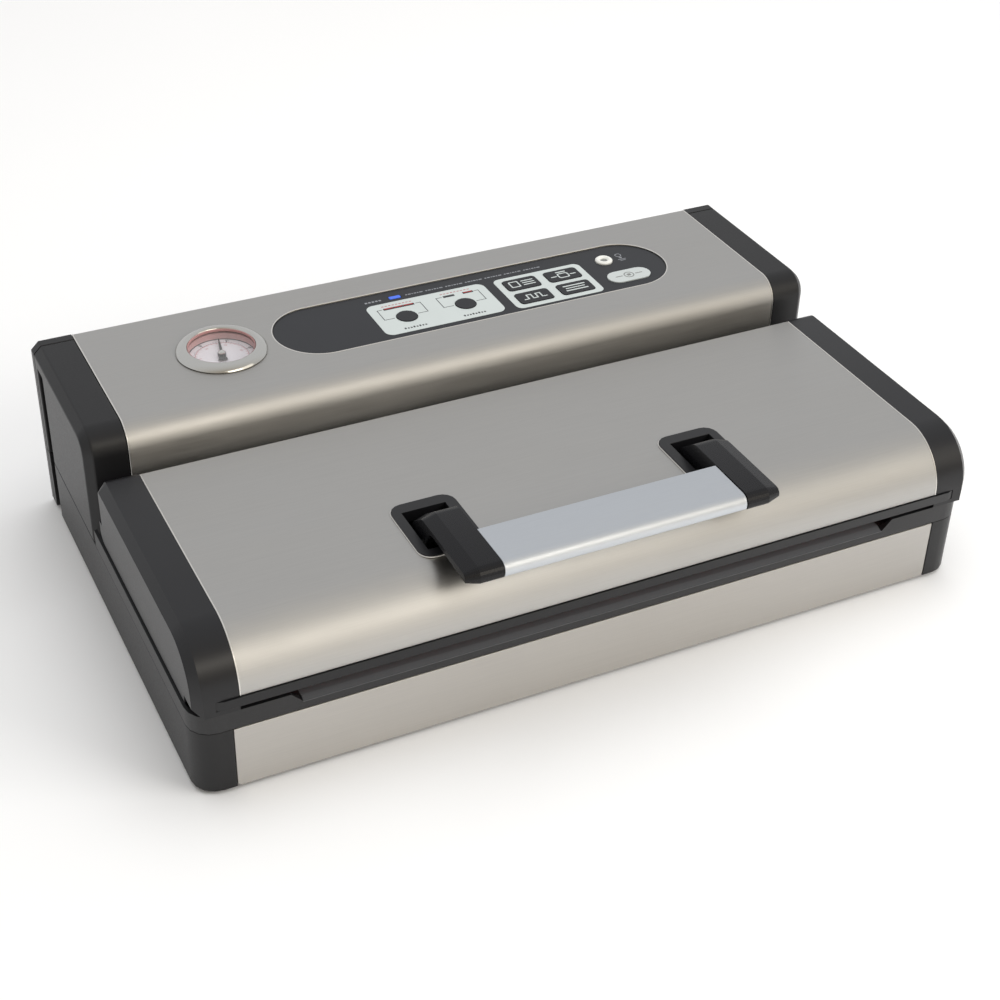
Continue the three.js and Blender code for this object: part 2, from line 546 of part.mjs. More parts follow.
function lidFrame() {
  const [x, y0, y1] = [SEAM_X - GAP - 0.3, LID_FRONT + 1.5, -2];
  // the front is raised, so that the bag slides in under the lip
  const step = -138;
  let frame = box(-x, x, step, y1, 58, 62).add(box(-x, x, y0, step + 2, LIP_BOTTOM, 62.5));
  frame = frame.add(box(-x, x, y0, y0 + 2.5, LIP_BOTTOM, 70)).add(box(-x, x, y1 - 2.5, y1, LID_BOTTOM, 94));
  for (const side of [-1, 1]) {
    const [a, b] = [Math.min(side * x, side * (x - 2.5)), Math.max(side * x, side * (x - 2.5))];
    frame = frame.add(box(a, b, step, y1, LID_BOTTOM, 70)).add(box(a, b, y0, step + 2, LIP_BOTTOM, 70));
  }
  frame = frame.add(lip(0));
  // grooves for the upper gasket and the pressure strip
  frame = frame.subtract(ring(GASKET.w + 0.6, 0, 59.7));
  frame = frame.subtract(box(-SEAL.x - 1, SEAL.x + 1, SEAL.y - 5, SEAL.y + 5, 0, 60.3));
  for (const side of [-1, 1]) {
    const [a, b] = [side * (HOOK.x0 - 2), side * (HOOK.x1 + 2)];
    frame = frame.subtract(box(Math.min(a, b), Math.max(a, b), -130, -76, 0, 70));
  }
  return frame;
}

function lidCover() {
  const outer = outline([[LID_FRONT, LID_SEAM_Z], [LID_FRONT, LID_TOP, LID_BEND], [LID_REAR, LID_TOP, 1.6], [LID_REAR, 92]], 14);
  const inner = outline([[LID_FRONT + SHEET, 40], [LID_FRONT + SHEET, LID_TOP - SHEET, LID_BEND - SHEET],
    [LID_REAR - SHEET, LID_TOP - SHEET, 0.4], [LID_REAR - SHEET, 40]], 14);
  let cover = prism('x', outer, -SEAM_X, SEAM_X).subtract(prism('x', inner, -SEAM_X - 1, SEAM_X + 1));
  for (const x of [-84.5, 84.5]) {
    cover = cover.subtract(slab(x - 16.5, x + 16.5, -118, -72.5, 5, 90, 110));
  }
  return cover;
}

function handleBezel() {
  const b = BEZEL;
  let plate = slab(b.x0, b.x1, b.y0, b.y1, 8, LID_TOP + GAP, LID_TOP + 1.3);
  plate = plate.add(slab(68.5, 100.5, b.y0 + 3, b.y1 - 3.5, 4, 93, LID_TOP + 1));
  return plate.subtract(box(ARM.x0 - 2.4, ARM.x1 + 2.4, b.y0 + 6.5, b.y1 - 8, 80, 110));
}

function addLid() {
  add('lid_cover', lidCover(), STAINLESS);
  addPair('lid_end_cap', lidEndCap(), BLACK);
  add('lid_frame', lidFrame(), BLACK);
  add('upper_gasket', ring(GASKET.w, 53.6, 59.4), RUBBER);
  add('pressure_strip', box(-SEAL.x, SEAL.x, SEAL.y - SEAL.w / 2, SEAL.y + SEAL.w / 2, 52.6, 60), SILICONE);
  addPair('handle_bezel', handleBezel(), BLACK);
}

// ---------------------------------------------------------------- handle
function handleArm() {
  const { y, z } = PIVOT;
  const side = outline([
    [y - 9, z - 9, 8.5], [y + 9, z - 9, 8.5], [y + 10.5, z + 13, 6], [y - 4, ARM.top - 0.5, 9], [GRIP_NOSE + 0.4, ARM.top, 6],
    [GRIP_NOSE + 1.5, 103.5, 2.4], [-112, 105.4, 3], [y - 11, z + 4, 3],
  ], 6);
  const arm = chamferedEnd(side, ARM.x0, ARM.x1, 2.3, 8);
  return arm.subtract(rod('x', y, z, PIVOT.r + GAP, 0, 200));
}

function handleGrip() {
  const side = outline([[-122.5, 112.6, 1], [GRIP_NOSE, 112.6, 5.5], [GRIP_NOSE + 2, 103.6, 2.2], [-126, 104.8, 1.5], [-122.5, 107.5, 1.5]], 7);
  return prism('x', side, -ARM.x0 + GAP, ARM.x0 - GAP);
}

function latchHook() {
  const { y, z } = PIVOT;
  const side = outline([
    [y - 8, z + 8, 7.5], [y + 8, z + 8, 7.5], [y + 8, z - 8, 4], [y + 4, z - 14], [y + 4, z - 45], [y + 9.5, z - 45], [y + 9.5, z - 48],
    [y + 5, z - 50, 1], [y - 4, z - 50, 2], [y - 4, z - 14], [y - 8, z - 8, 4],
  ], 4);
  return prism('x', side, HOOK.x0, HOOK.x1).subtract(rod('x', y, z, PIVOT.r + GAP, 0, 300));
}

function addHandle() {
  add('handle_shaft', rod('x', PIVOT.y, PIVOT.z, PIVOT.r, -216, 216, 16), STEEL);
  addPair('handle_arm', handleArm(), BLACK);
  add('handle_grip', handleGrip(), ALUMINIUM);
  addPair('latch_hook', latchHook(), STEEL);
}

addBase();
addHousing();
addControls();
addGauge();
addWorks();
addLid();
addHandle();

export default sealer;
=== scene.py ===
"""Looks of the countertop vacuum sealer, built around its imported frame. Metres, +Z up, front towards -Y."""
import math

import bmesh
import bpy
from mathutils import Matrix, Vector


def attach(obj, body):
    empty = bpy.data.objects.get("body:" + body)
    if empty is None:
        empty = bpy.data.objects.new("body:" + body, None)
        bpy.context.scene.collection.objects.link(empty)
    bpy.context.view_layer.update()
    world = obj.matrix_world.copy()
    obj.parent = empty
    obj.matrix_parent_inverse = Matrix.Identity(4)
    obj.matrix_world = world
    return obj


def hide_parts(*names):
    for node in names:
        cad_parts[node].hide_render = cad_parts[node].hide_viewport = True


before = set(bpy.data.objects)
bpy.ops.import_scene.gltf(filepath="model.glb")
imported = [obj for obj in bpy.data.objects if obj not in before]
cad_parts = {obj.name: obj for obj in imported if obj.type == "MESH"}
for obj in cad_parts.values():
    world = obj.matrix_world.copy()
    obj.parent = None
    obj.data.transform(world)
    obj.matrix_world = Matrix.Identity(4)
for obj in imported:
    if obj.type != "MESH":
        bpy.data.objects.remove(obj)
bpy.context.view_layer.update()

MM = 0.001
# every driving number below is in millimetres
SEAM_X = 219.0
LID_FRONT, LID_TOP, LID_BEND, LID_REAR, LID_SEAM_Z = -147.3, 99.0, 32.0, 20.4, 66.3
HOUSING_FRONT, HOUSING_TOP, HOUSING_BEND, HOUSING_REAR = 38.6, 117.5, 15.0, 157.5
PANEL_X0, PANEL_X1, PANEL_Y, PANEL_RADIUS, PANEL_TOP = -106.4, 168.6, 102.0, 29.5, 116.8
SLOT_HALF_WIDTH, SLOT_REAR, SLOT_FRONT = 184.6, -112.0, -128.0
GAUGE = (-141.0, 102.0)
ROUND_KEYS = ((-20.0, 96.4), (21.0, 96.4))
WIDE_KEYS = ((65.9, 106.0), (96.1, 106.0), (65.9, 87.5), (96.1, 87.5))
CANCEL = (136.6, 88.4)
PORT = (131.0, 113.0)
BACK_Y = 158.0


# ------------------------------------------------------------------ camera, light and floor
def place_camera():
    yaw, pitch, roll = math.radians(26.835), math.radians(35.203), math.radians(1.609)
    ahead = Vector((math.sin(yaw) * math.cos(pitch), math.cos(yaw) * math.cos(pitch), -math.sin(pitch)))
    level = Vector((math.cos(yaw), -math.sin(yaw), 0))
    upright = level.cross(ahead)
    right = math.cos(roll) * level + math.sin(roll) * upright
    up = -math.sin(roll) * level + math.cos(roll) * upright
    data = bpy.data.cameras.new("camera")
    data.sensor_width, data.lens = 36.0, 64.61
    data.clip_start, data.clip_end = 0.05, 20.0
    camera = bpy.data.objects.new("camera", data)
    turn = Matrix((right, up, -ahead)).transposed().to_4x4()
    camera.matrix_world = Matrix.Translation((-0.4142, -0.8204, 0.6791)) @ turn
    bpy.context.scene.collection.objects.link(camera)
    bpy.context.scene.camera = camera


def area_light(name, place, target, size, power, colour=(1, 1, 1)):
    data = bpy.data.lights.new(name, "AREA")
    data.shape, data.size, data.size_y = "RECTANGLE", size[0], size[1]
    data.energy, data.color = power, colour
    lamp = bpy.data.objects.new(name, data)
    lamp.location = place
    lamp.rotation_euler = (Vector(target) - Vector(place)).to_track_quat("-Z", "Y").to_euler()
    bpy.context.scene.collection.objects.link(lamp)
    return lamp


def light_scene():
    bpy.context.scene.view_settings.view_transform = "Standard"
    world = bpy.data.worlds.new("studio")
    world.use_nodes = True
    tree = world.node_tree
    shade = tree.nodes["Background"]
    # neutral behind and to the sides, dimmer and warmer low in front
    where = tree.nodes.new("ShaderNodeTexCoord")
    parts = tree.nodes.new("ShaderNodeSeparateXYZ")
    ramp = tree.nodes.new("ShaderNodeValToRGB")
    stops = ramp.color_ramp.elements
    stops[0].position, stops[0].color = 0.04, (0.44, 0.385, 0.31, 1)
    stops[1].position, stops[1].color = 0.60, (0.73, 0.735, 0.745, 1)
    middle = stops.new(0.34)
    middle.color = (0.66, 0.65, 0.63, 1)
    half = tree.nodes.new("ShaderNodeMapRange")
    half.inputs["From Min"].default_value, half.inputs["From Max"].default_value = -1.0, 1.0
    tree.links.new(where.outputs["Generated"], parts.inputs["Vector"])
    tree.links.new(parts.outputs["Y"], half.inputs["Value"])
    tree.links.new(half.outputs["Result"], ramp.inputs["Fac"])
    tree.links.new(ramp.outputs["Color"], shade.inputs["Color"])
    bpy.context.scene.world = world
    window = area_light("window_front", (0.95, -1.85, 1.28), (0.1, -0.05, 0.08), (2.9, 1.3), 11.5, (1.0, 0.93, 0.80))
    strip = area_light("strip_front", (0.35, -1.8, 1.18), (0, -0.05, 0.1), (1.2, 0.4), 4.4, (1.0, 0.95, 0.86))
    window.visible_diffuse = strip.visible_diffuse = False
    fill = area_light("fill_above", (0.3, 0.2, 2.4), (0, 0, 0), (2.2, 2.2), 25, (0.99, 0.995, 1.0))
    front = area_light("fill_front", (1.5, -1.5, 1.2), (0.2, -0.1, 0.0), (1.4, 1.0), 26, (1.0, 0.985, 0.96))
    fill.visible_glossy = front.visible_glossy = False


def lay_floor():
    mesh = bpy.data.meshes.new("floor")
    side = 6.0
    mesh.from_pydata([(-side, -side, 0), (side, -side, 0), (side, side, 0), (-side, side, 0)], [], [(0, 1, 2, 3)])
    floor = bpy.data.objects.new("floor", mesh)
    bpy.context.scene.collection.objects.link(floor)
    mesh.materials.append(surface("floor_paint", (0.93, 0.93, 0.93), 0.7, mottle=(1.5, 0.01)))


# ------------------------------------------------------------------ materials
def mapped_noise(tree, scale, stretch, detail=3.0, roughness=0.55):
    """Noise over the object's own coordinates; scale is cells per metre, stretch divides it along each axis."""
    where = tree.nodes.new("ShaderNodeTexCoord")
    mapping = tree.nodes.new("ShaderNodeMapping")
    mapping.inputs["Scale"].default_value = tuple(scale / s for s in stretch)
    noise = tree.nodes.new("ShaderNodeTexNoise")
    noise.inputs["Scale"].default_value = 1.0
    noise.inputs["Detail"].default_value = detail
    noise.inputs["Roughness"].default_value = roughness
    tree.links.new(where.outputs["Object"], mapping.inputs["Vector"])
    tree.links.new(mapping.outputs["Vector"], noise.inputs["Vector"])
    return noise.outputs["Fac"]


def spread(tree, value, low, high):
    """value, which is near a half, mapped on to low to high."""
    node = tree.nodes.new("ShaderNodeMapRange")
    node.inputs["From Min"].default_value, node.inputs["From Max"].default_value = 0.25, 0.75
    node.inputs["To Min"].default_value, node.inputs["To Max"].default_value = low, high
    tree.links.new(value, node.inputs["Value"])
    return node.outputs["Result"]


def surface(name, colour, roughness, metallic=0.0, grain=None, mottle=None, swing=0.0, alpha=None, **sockets):
    """A procedural material. grain is (cells per metre, stretch, bump height in mm); mottle is (cells per metre,
    amount) of slow colour change; swing is how far roughness wanders."""
    mat = bpy.data.materials.new(name)
    mat.use_nodes = True
    tree = mat.node_tree
    shade = tree.nodes["Principled BSDF"]
    shade.inputs["Base Color"].default_value = (*colour, 1)
    shade.inputs["Roughness"].default_value = roughness
    shade.inputs["Metallic"].default_value = metallic
    for key, value in sockets.items():
        shade.inputs[key.replace("_", " ")].default_value = value
    if mottle:
        mix = tree.nodes.new("ShaderNodeMix")
        mix.data_type = "RGBA"
        mix.inputs["A"].default_value = (*(c * (1 - mottle[1]) for c in colour), 1)
        mix.inputs["B"].default_value = (*(min(1.0, c * (1 + mottle[1])) for c in colour), 1)
        fac = spread(tree, mapped_noise(tree, mottle[0], (1, 1, 1), 4.0), 0.0, 1.0)
        tree.links.new(fac, mix.inputs["Factor"])
        tree.links.new(mix.outputs["Result"], shade.inputs["Base Color"])
    if grain:
        cells, stretch, height = grain
        noise = mapped_noise(tree, cells, stretch)
        bump = tree.nodes.new("ShaderNodeBump")
        bump.inputs["Strength"].default_value = 1.0
        bump.inputs["Distance"].default_value = height * MM
        tree.links.new(noise, bump.inputs["Height"])
        tree.links.new(bump.outputs["Normal"], shade.inputs["Normal"])
        if swing:
            tree.links.new(spread(tree, noise, roughness - swing, roughness + swing), shade.inputs["Roughness"])
    elif swing:
        noise = mapped_noise(tree, 30, (1, 1, 1))
        tree.links.new(spread(tree, noise, roughness - swing, roughness + swing), shade.inputs["Roughness"])
    if alpha is not None:
        shade.inputs["Alpha"].default_value = alpha
    return mat


def brushed(name, colour, roughness, along=(90, 1, 1), cells=2600, strength=0.35):
    """Brushed sheet: fine lines along one axis in roughness and colour, broad faint smudges, and stretched gloss."""
    mat = bpy.data.materials.new(name)
    mat.use_nodes = True
    tree = mat.node_tree
    shade = tree.nodes["Principled BSDF"]
    shade.inputs["Metallic"].default_value = 1.0
    shade.inputs["Anisotropic"].default_value = 0.8
    lines = mapped_noise(tree, cells, along, 3.0, 0.6)
    broad = mapped_noise(tree, 22, (3, 1, 1), 4.0, 0.6)
    mix = tree.nodes.new("ShaderNodeMix")
    mix.data_type = "RGBA"
    mix.inputs["A"].default_value = (*(c * (1 - 0.14 * strength) for c in colour), 1)
    mix.inputs["B"].default_value = (*(min(1.0, c * (1 + 0.14 * strength)) for c in colour), 1)
    tree.links.new(spread(tree, lines, 0.0, 1.0), mix.inputs["Factor"])
    tree.links.new(mix.outputs["Result"], shade.inputs["Base Color"])
    total = tree.nodes.new("ShaderNodeMath")
    total.operation = "ADD"
    tree.links.new(spread(tree, lines, roughness - 0.05, roughness + 0.05), total.inputs[0])
    tree.links.new(spread(tree, broad, -0.03, 0.03), total.inputs[1])
    tree.links.new(total.outputs["Value"], shade.inputs["Roughness"])
    bump = tree.nodes.new("ShaderNodeBump")
    bump.inputs["Strength"].default_value = strength
    bump.inputs["Distance"].default_value = 0.004 * MM
    tree.links.new(lines, bump.inputs["Height"])
    tree.links.new(bump.outputs["Normal"], shade.inputs["Normal"])
    tangent = tree.nodes.new("ShaderNodeTangent")
    tangent.direction_type, tangent.axis = "RADIAL", "X"
    tree.links.new(tangent.outputs["Tangent"], shade.inputs["Tangent"])
    return mat


def textured_deck():
    """Black grained moulding whose front top, where the bag lies, carries painted light: paler than the rest,
    brightening towards the front edge.
    """
    mat = surface("deck_black", (0.012, 0.012, 0.0135), 0.45, grain=(1000, FINE, 0.05), mottle=(30, 0.08), swing=0.06)
    tree = mat.node_tree
    shade = tree.nodes["Principled BSDF"]
    where = tree.nodes.new("ShaderNodeTexCoord")
    parts = tree.nodes.new("ShaderNodeSeparateXYZ")
    width = tree.nodes.new("ShaderNodeMath")
    width.operation = "ABSOLUTE"
    inside = tree.nodes.new("ShaderNodeMath")
    inside.operation, inside.inputs[1].default_value = "LESS_THAN", SLOT_HALF_WIDTH * MM
    high = tree.nodes.new("ShaderNodeMapRange")
    high.inputs["From Min"].default_value, high.inputs["From Max"].default_value = 47.7 * MM, 48.3 * MM
    # painted light ramp: no paleness at the slot's rear edge, full paleness from its front edge forward
    near = tree.nodes.new("ShaderNodeMapRange")
    near.inputs["From Min"].default_value, near.inputs["From Max"].default_value = SLOT_REAR * MM, SLOT_FRONT * MM
    ahead = tree.nodes.new("ShaderNodeMath")
    ahead.operation = "MULTIPLY"
    both = tree.nodes.new("ShaderNodeMath")
    both.operation = "MULTIPLY"
    mix = tree.nodes.new("ShaderNodeMix")
    mix.data_type = "RGBA"
    # the paler grey painted on the front top as the light it catches
    mix.inputs["B"].default_value = (0.15, 0.155, 0.165, 1)
    old = shade.inputs["Base Color"].links[0].from_socket
    for source, target in ((where.outputs["Object"], parts.inputs["Vector"]), (parts.outputs["X"], width.inputs[0]),
                           (width.outputs["Value"], inside.inputs[0]), (parts.outputs["Z"], high.inputs["Value"]),
                           (inside.outputs["Value"], both.inputs[0]), (high.outputs["Result"], both.inputs[1]),
                           (parts.outputs["Y"], near.inputs["Value"]), (near.outputs["Result"], ahead.inputs[0]),
                           (both.outputs["Value"], ahead.inputs[1]), (ahead.outputs["Value"], mix.inputs["Factor"]),
                           (old, mix.inputs["A"]),
                           (mix.outputs["Result"], shade.inputs["Base Color"])):
        tree.links.new(source, target)
    return mat


def woven(name, colour, cells):
    """Woven cloth tape: two crossed waves for the threads."""
    mat = surface(name, colour, 0.55, mottle=(120, 0.12))
    tree = mat.node_tree
    where = tree.nodes.new("ShaderNodeTexCoord")
    total = tree.nodes.new("ShaderNodeMath")
    total.operation = "MULTIPLY"
    for i, axis in enumerate(("X", "Y")):
        wave = tree.nodes.new("ShaderNodeTexWave")
        wave.bands_direction = axis
        wave.inputs["Scale"].default_value = cells
        tree.links.new(where.outputs["Object"], wave.inputs["Vector"])
        tree.links.new(wave.outputs["Fac"], total.inputs[i])
    bump = tree.nodes.new("ShaderNodeBump")
    bump.inputs["Strength"].default_value = 0.8
    bump.inputs["Distance"].default_value = 0.15 * MM
    tree.links.new(total.outputs["Value"], bump.inputs["Height"])
    tree.links.new(bump.outputs["Normal"], tree.nodes["Principled BSDF"].inputs["Normal"])
    return mat


FINE = (1, 1, 1)
MAT = {
    "stainless": brushed("brushed_stainless", (0.50, 0.495, 0.485), 0.40),
    # painted sheen: a paler, warmer copy of the brushed stainless for the front panel, standing in for the warm light
    # it reflects from the front
    "stainless_painted_sheen": brushed("brushed_stainless_painted_sheen", (0.52, 0.505, 0.485), 0.42),
    # cut edges: real edges, coloured paler than the sheets' steel as a painted highlight
    "edge_painted_highlight": surface("cut_edge_with_painted_highlight", (0.82, 0.80, 0.76), 0.34, 1.0, swing=0.05),
    "polished": surface("polished_steel", (0.58, 0.575, 0.55), 0.15, 1.0, grain=(900, (1, 1, 6), 0.003),
                        swing=0.05),
    "zinc": surface("zinc_plate", (0.52, 0.52, 0.50), 0.38, 1.0, grain=(500, FINE, 0.01), mottle=(60, 0.1),
                    swing=0.06),
    "tray": brushed("brushed_tray", (0.60, 0.59, 0.57), 0.30),
    "aluminium": brushed("satin_aluminium", (0.61, 0.64, 0.68), 0.37, (60, 1, 1), 3200, 0.25),
    "cast": surface("cast_aluminium", (0.55, 0.56, 0.57), 0.55, 1.0, grain=(700, FINE, 0.05), mottle=(40, 0.08)),
    "black": surface("satin_black", (0.0105, 0.0105, 0.012), 0.34, grain=(1500, FINE, 0.012), mottle=(25, 0.06),
                     swing=0.04, Specular_IOR_Level=0.38),
    "black_side": surface("textured_black", (0.0105, 0.0105, 0.0115), 0.42, grain=(1100, FINE, 0.03),
                          mottle=(25, 0.06), swing=0.05, Specular_IOR_Level=0.36),
    "deck": textured_deck(),
    "arm": surface("arm_black", (0.0070, 0.0070, 0.0082), 0.28, grain=(1600, FINE, 0.010), mottle=(30, 0.05),
                   swing=0.04, Specular_IOR_Level=0.27),
    "overlay": surface("panel_overlay", (0.0135, 0.0145, 0.018), 0.42, grain=(2200, FINE, 0.006), mottle=(40, 0.04),
                       swing=0.03, Specular_IOR_Level=0.38),
    "key": surface("key_film", (0.012, 0.0125, 0.0155), 0.45, grain=(2200, FINE, 0.006), mottle=(60, 0.05), swing=0.03,
                   Specular_IOR_Level=0.38),
    "pale": surface("pale_key_film", (0.52, 0.555, 0.55), 0.42, grain=(2200, FINE, 0.004), mottle=(60, 0.03),
                    swing=0.03),
    "white": surface("white_print", (0.545, 0.59, 0.58), 0.42, grain=(2200, FINE, 0.003), mottle=(60, 0.02),
                     swing=0.03),
    "faint": surface("faint_print", (0.24, 0.25, 0.27), 0.45, mottle=(200, 0.1)),
    "faint_red": surface("faint_red_print", (0.42, 0.16, 0.17), 0.45, mottle=(200, 0.1)),
    # mid grey, used as faint print on the cancel key and as painted shade inside the canister port's bore
    "shade": surface("grey_print_and_painted_shade", (0.22, 0.225, 0.22), 0.5, mottle=(150, 0.08)),
    "ink": surface("black_print", (0.02, 0.02, 0.024), 0.45, mottle=(200, 0.1)),
    "red_lens": surface("red_lens", (0.32, 0.02, 0.02), 0.25, mottle=(300, 0.15), Coat_Weight=0.4),
    "blue": surface("blue_lens", (0.03, 0.13, 0.80), 0.22, mottle=(300, 0.12), Coat_Weight=0.5),
    "ivory": surface("port_plastic", (0.80, 0.80, 0.76), 0.3, mottle=(80, 0.03), swing=0.04),
    "dial": surface("dial_print", (0.62, 0.595, 0.63), 0.5, mottle=(90, 0.03)),
    "dial_wall": surface("dial_wall", (0.50, 0.27, 0.26), 0.35, mottle=(90, 0.06)),
    "rubber": surface("rubber", (0.018, 0.018, 0.018), 0.7, grain=(800, FINE, 0.03), mottle=(60, 0.15), swing=0.08),
    "foam": surface("foam_gasket", (0.03, 0.03, 0.032), 0.85, grain=(1800, FINE, 0.12), mottle=(200, 0.2)),
    "silicone": surface("silicone", (0.40, 0.060, 0.040), 0.5, grain=(900, FINE, 0.02), mottle=(60, 0.08)),
    "tape": woven("coated_tape", (0.30, 0.19, 0.09), 700),
    "copper": surface("copper_winding", (0.62, 0.28, 0.13), 0.35, 1.0, grain=(1400, (1, 1, 40), 0.06),
                      mottle=(80, 0.1), swing=0.06),
    "board": surface("board_green", (0.015, 0.13, 0.05), 0.4, grain=(600, FINE, 0.02), mottle=(120, 0.12)),
    "brass": surface("brass_contact", (0.72, 0.52, 0.22), 0.3, 1.0, grain=(900, (1, 20, 1), 0.01),
                     mottle=(90, 0.06)),
    "glass": surface("gauge_glass", (1, 1, 1), 0.03, alpha=0.06, Specular_IOR_Level=0.5),
    "blank_plate": brushed("blank_plate", (0.62, 0.62, 0.62), 0.4, (40, 1, 1), 2400, 0.3),
}

NODE_LOOK = {
    "stainless": ("lid_cover", "rear_housing_shell"),
    "stainless_painted_sheen": ("front_panel",),
    "black_side": ("base_tray", "rear_cover", "housing_end_cap_right", "housing_end_cap_left"),
    "black": ("lid_end_cap_right", "lid_end_cap_left", "lid_frame", "handle_bezel_right", "handle_bezel_left",
              "power_inlet", "switch_frame", "fan_frame", "fan_rotor"),
    "deck": ("deck_frame",),
    "arm": ("handle_arm_right", "handle_arm_left", "gauge_needle"),
    "rubber": ("foot_front_left", "foot_front_right", "foot_rear_left", "foot_rear_right", "lower_gasket"),
    "foam": ("upper_gasket",),
    "tray": ("drip_tray",),
    "aluminium": ("handle_grip", "seal_bar"),
    "zinc": ("heating_element", "latch_catch_right", "latch_catch_left", "hinge_pin_right", "hinge_pin_left",
             "gauge_case", "pump_motor", "handle_shaft", "latch_hook_right", "latch_hook_left"),
    "tape": ("release_tape",),
    "overlay": ("control_panel",),
    "key": ("key_seal_time", "key_pressure", "key_vacuum_seal", "key_canister", "key_pulse", "key_manual_seal",
            "power_switch"),
    "pale": ("key_cancel",),
    "blue": ("ready_lamp",),
    "ivory": ("canister_port", "release_valve"),
    "board": ("control_board",),
    "polished": ("gauge_bezel",),
    "dial": ("gauge_dial",),
    "glass": ("gauge_lens",),
    "copper": ("transformer",),
    "cast": ("pump_head",),
    "silicone": ("pressure_strip", "suction_hose"),
}
# visible edge radius in mm, and the angle over which an edge counts as one
EDGE_RADIUS = {
    "lid_cover": 0.35, "rear_housing_shell": 0.35, "front_panel": 0.3, "base_tray": 0.7, "rear_cover": 0.6,
    "housing_end_cap_right": 0.9, "housing_end_cap_left": 0.9, "lid_end_cap_right": 1.3, "lid_end_cap_left": 1.3,
    "deck_frame": 0.8, "lid_frame": 0.5, "handle_bezel_right": 0.4, "handle_bezel_left": 0.4,
    "handle_arm_right": 0.7, "handle_arm_left": 0.7, "handle_grip": 0.5, "gauge_bezel": 0.3,
    "upper_gasket": 1.2, "lower_gasket": 1.0, "pressure_strip": 1.0, "seal_bar": 0.4, "power_switch": 0.5,
    "drip_tray": 0.5, "latch_hook_right": 0.4, "latch_hook_left": 0.4, "power_inlet": 0.4, "switch_frame": 0.4,
    "transformer": 0.6, "pump_head": 1.2, "pump_motor": 0.8, "fan_frame": 0.5, "control_panel": 0.15,
}
EDGE_ANGLE = {"handle_arm_right": 15.4, "handle_arm_left": 15.4}
# broad faces with openings keep their shape only with plain corners
SHARP_CORNERS = {"deck_frame", "base_tray", "rear_cover", "lid_frame", "control_board", "handle_bezel_right",
                 "handle_bezel_left"}


def smoothing(angle):
    """Geometry nodes that join the facets' corners and shade them smooth, with sharp edges over the angle."""
    tree = bpy.data.node_groups.new(f"smoothing_{angle:g}", "GeometryNodeTree")
    tree.interface.new_socket("Geometry", in_out="INPUT", socket_type="NodeSocketGeometry")
    tree.interface.new_socket("Geometry", in_out="OUTPUT", socket_type="NodeSocketGeometry")
    nodes, links = tree.nodes, tree.links
    start, end = nodes.new("NodeGroupInput"), nodes.new("NodeGroupOutput")
    drop = nodes.new("GeometryNodeRemoveAttribute")
    drop.inputs["Name"].default_value = "custom_normal"
    weld = nodes.new("GeometryNodeMergeByDistance")
    weld.inputs["Distance"].default_value = 2e-6
    smooth = nodes.new("GeometryNodeSetShadeSmooth")
    smooth.inputs["Shade Smooth"].default_value = True
    sharp = nodes.new("GeometryNodeSetShadeSmooth")
    sharp.domain = "EDGE"
    sharp.inputs["Shade Smooth"].default_value = False
    turn = nodes.new("GeometryNodeInputMeshEdgeAngle")
    over = nodes.new("FunctionNodeCompare")
    over.data_type, over.operation = "FLOAT", "GREATER_THAN"
    over.inputs["B"].default_value = math.radians(angle)
    links.new(turn.outputs["Unsigned Angle"], over.inputs["A"])
    links.new(over.outputs["Result"], sharp.inputs["Selection"])
    previous = start.outputs[0]
    for node in (drop, weld, smooth, sharp):
        links.new(previous, node.inputs["Geometry"])
        previous = node.outputs["Geometry"]
    links.new(previous, end.inputs[0])
    return tree


def dress_nodes():
    groups = {}
    for look, names in NODE_LOOK.items():
        for name in names:
            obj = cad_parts[name]
            for place in obj.material_slots:
                place.material = MAT[look]
            if not obj.material_slots:
                obj.data.materials.append(MAT[look])
            degrees = EDGE_ANGLE.get(name, 28)
            if degrees not in groups:
                groups[degrees] = smoothing(degrees)
            radius = EDGE_RADIUS.get(name, 0.2)
            obj.modifiers.new("smooth_shading", "NODES").node_group = groups[degrees]
            flat = obj.modifiers.new("flat_faces", "DECIMATE")
            flat.decimate_type, flat.angle_limit = "DISSOLVE", math.radians(0.3)
            edge = obj.modifiers.new("edges", "BEVEL")
            edge.width, edge.segments = radius * MM, 3 if radius > 0.5 else 2
            edge.limit_method, edge.angle_limit = "ANGLE", math.radians(degrees)
            edge.harden_normals = True
            edge.use_clamp_overlap = True
            edge.miter_outer = "MITER_SHARP" if name in SHARP_CORNERS else "MITER_ARC"


# ------------------------------------------------------------------ mesh helpers
def piece(name, mesh, body, look, smooth=28.0):
    for poly in mesh.polygons:
        poly.use_smooth = True
    mesh.set_sharp_from_angle(angle=math.radians(smooth))
    mesh.materials.clear()
    mesh.materials.append(MAT[look])
    obj = bpy.data.objects.new(name, mesh)
    bpy.context.scene.collection.objects.link(obj)
    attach(obj, body)
    return obj


def from_bmesh(name, bm):
    bmesh.ops.remove_doubles(bm, verts=bm.verts, dist=1e-7)
    bmesh.ops.recalc_face_normals(bm, faces=bm.faces)
    mesh = bpy.data.meshes.new(name)
    bm.to_mesh(mesh)
    bm.free()
    return mesh


def curve_mesh(curve):
    """The mesh of a curve, as one closed surface with no loose faces."""
    temp = bpy.data.objects.new("temp", curve)
    bpy.context.scene.collection.objects.link(temp)
    mesh = bpy.data.meshes.new_from_object(temp.evaluated_get(bpy.context.evaluated_depsgraph_get()))
    bpy.data.objects.remove(temp)
    bm = bmesh.new()
    bm.from_mesh(mesh)
    bpy.data.meshes.remove(mesh)
    return from_bmesh(curve.name, bm)


def ring_points(x, y, r, count=48):
    turns = (2 * math.pi * k / count for k in range(count))
    return [(x + r * math.cos(a), y + r * math.sin(a)) for a in turns]


